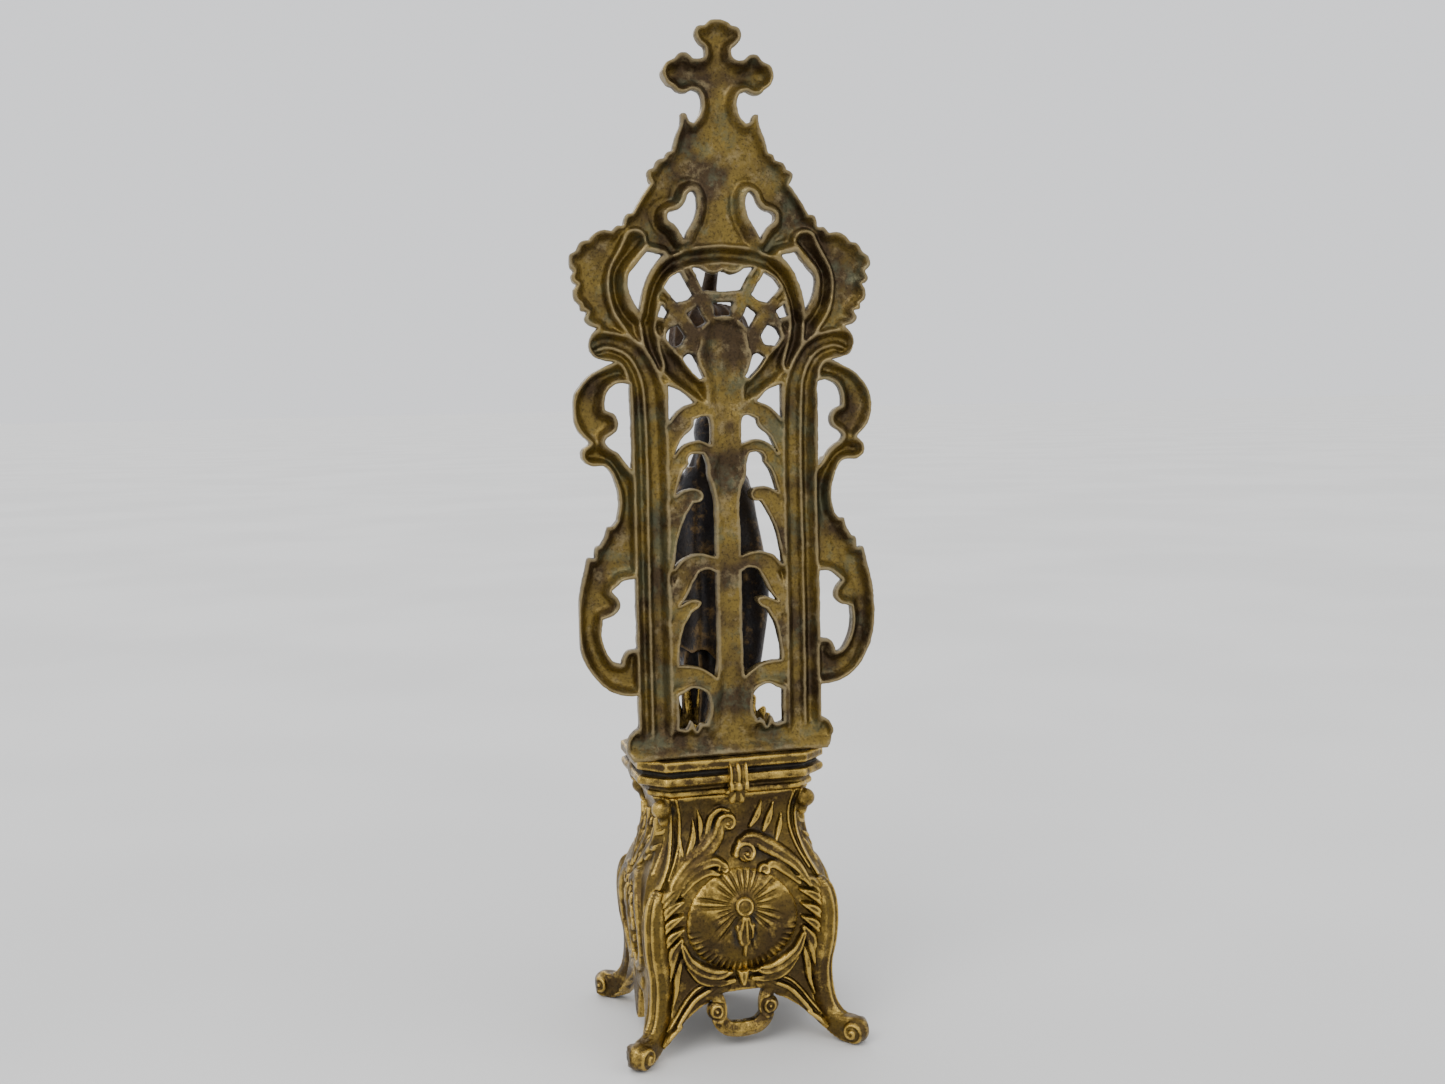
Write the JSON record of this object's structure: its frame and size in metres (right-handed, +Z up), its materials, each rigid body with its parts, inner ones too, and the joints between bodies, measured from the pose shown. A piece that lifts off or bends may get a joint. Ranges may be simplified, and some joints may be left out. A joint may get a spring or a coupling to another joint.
{
  "type": "altar cross",
  "caption": "Altar cross crowning a rocaille openwork plate, with a robed figure under a canopy, on a moulded cornice and a bombe pedestal with scrolled feet.",
  "frame": {"origin": "on the resting plane, under the middle of the bounding box", "axes": "+Z up; the figure faces -Y and the hollow back of the openwork faces +Y; +X is the figure's left"},
  "size_m": [0.1078, 0.082, 0.36],
  "materials": {
    "aged_brass": "aged, olive-brown patina with worn golden edges",
    "pedestal_brass": "aged, golden on the high relief and dark in the recesses",
    "dark_bronze": "dark patina with traces of gilding on the folds",
    "fixings": "dull brass screws",
    "iron": "dark, dry iron"
  },
  "bodies": {
    "root": {"back_plate": "aged_brass", "canopy": "aged_brass", "canopy_screws": "fixings", "figure": "dark_bronze", "figure_plinth": "aged_brass", "cornice": "pedestal_brass", "clasp_back": "pedestal_brass", "clasp_front": "pedestal_brass", "pedestal_body": "pedestal_brass", "leg_back_left": "pedestal_brass", "leg_back_right": "pedestal_brass", "leg_front_left": "pedestal_brass", "leg_front_right": "pedestal_brass", "leg_screws": "fixings", "medallion_back": "pedestal_brass", "medallion_front": "pedestal_brass", "plate_screws": "fixings", "tie_rod": "iron", "clamp_bar": "iron", "clamp_washer": "iron", "clamp_nut": "iron"}
  },
  "joints": []
}
